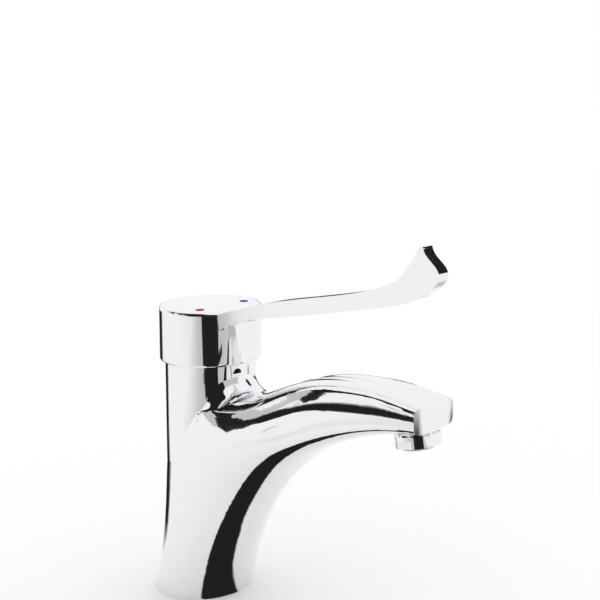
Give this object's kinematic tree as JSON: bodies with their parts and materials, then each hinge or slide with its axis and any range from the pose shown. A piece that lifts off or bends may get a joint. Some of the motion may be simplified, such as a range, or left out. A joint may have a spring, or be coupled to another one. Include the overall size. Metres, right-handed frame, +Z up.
{
  "type": "elbow lever tap",
  "caption": "Deck-mounted chrome basin mixer tap with a rising spout and a long upswept elbow lever that lifts for flow and swings for temperature.",
  "frame": {"origin": "middle of the foot on the basin's surface, at the mouth of the fixing stud's hole", "axes": "+X along the spout towards the user, +Z up; hot is on -Y, the user's left"},
  "size_m": [0.1808, 0.052, 0.1909],
  "materials": {
    "chrome_plated_brass": "polished",
    "chrome_plated_zinc": "polished",
    "plain_brass": "machined",
    "stem_brass": "machined",
    "stainless_steel": "satin",
    "black_rubber": "matte",
    "white_cartridge_plastic": "matte",
    "grey_cartridge_plastic": "matte",
    "grey_insert_plastic": "matte",
    "grey_plug_plastic": "gloss",
    "white_ceramic": "polished",
    "red_plastic": "gloss",
    "blue_plastic": "gloss"
  },
  "bodies": {
    "tap_body": {"body_casting": "chrome_plated_brass", "base_seal": "black_rubber", "collar_ring": "chrome_plated_brass", "cartridge_nut": "plain_brass", "cartridge_housing": "white_cartridge_plastic", "cartridge_base": "white_cartridge_plastic", "cartridge_base_seals": "black_rubber", "fixed_ceramic_disc": "white_ceramic", "hot_limit_ring": "red_plastic", "aerator_housing": "chrome_plated_brass", "aerator_washer": "black_rubber", "flow_regulator": "white_cartridge_plastic", "flow_straightener": "grey_insert_plastic"},
    "spindle": {"cartridge_spindle": "grey_cartridge_plastic", "stem_pin": "stainless_steel"},
    "lever": {"lever_handle": "chrome_plated_zinc", "lever_stem": "stem_brass", "lever_grub_screw": "stainless_steel", "screw_cover_plug": "grey_plug_plastic", "red_index_mark": "red_plastic", "blue_index_mark": "blue_plastic"},
    "disc": {"moving_ceramic_disc": "white_ceramic", "disc_carrier": "grey_cartridge_plastic"}
  },
  "joints": [
    {"name": "lever_swivel", "type": "hinge", "parent": "tap_body", "child": "spindle", "pos_m": [0.008, 0, 0.117], "axis": [0, 0, 1], "range_deg": [-45, 45]},
    {"name": "lever_lift", "type": "hinge", "parent": "spindle", "child": "lever", "pos_m": [0.008, 0, 0.117], "axis": [0, -1, 0], "range_deg": [0, 20]},
    {"name": "disc_slide", "type": "slide", "parent": "spindle", "child": "disc", "axis": [1, 0, 0], "range_m": [0, 0.0043]}
  ],
  "couplings": [
    {"joint": "disc_slide", "follows": "lever_lift", "m_per_rad": 0.01215}
  ]
}
